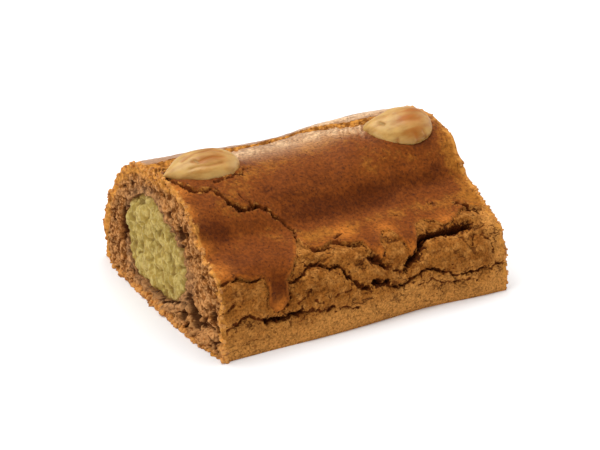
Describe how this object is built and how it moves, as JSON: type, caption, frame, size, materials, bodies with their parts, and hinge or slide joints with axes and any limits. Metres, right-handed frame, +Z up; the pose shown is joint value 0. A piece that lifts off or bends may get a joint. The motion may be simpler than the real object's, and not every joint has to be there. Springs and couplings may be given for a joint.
{
  "type": "filled speculaas bar",
  "caption": "Cut piece of a baked log of spiced brown dough with a ragged, cracked side, a core of pale almond paste that shows at both cuts, and whole almonds pressed into the top.",
  "frame": {"origin": "middle of the flat base, on the surface it rests on", "axes": "+X along the bar from the cut face that shows its filling to the other cut face, -Y towards the low torn side, +Z up"},
  "size_m": [0.092, 0.081, 0.0444],
  "materials": {
    "baked_crust": "baked spiced dough, slightly glossy on the smooth skin and matt where torn",
    "almond_paste": "moist grainy paste",
    "blanched_almond": "toasted, satin"
  },
  "bodies": {
    "root": {"speculaas_dough": "baked_crust", "almond_paste": "almond_paste", "almond_left": "blanched_almond", "almond_right": "blanched_almond"}
  },
  "joints": []
}
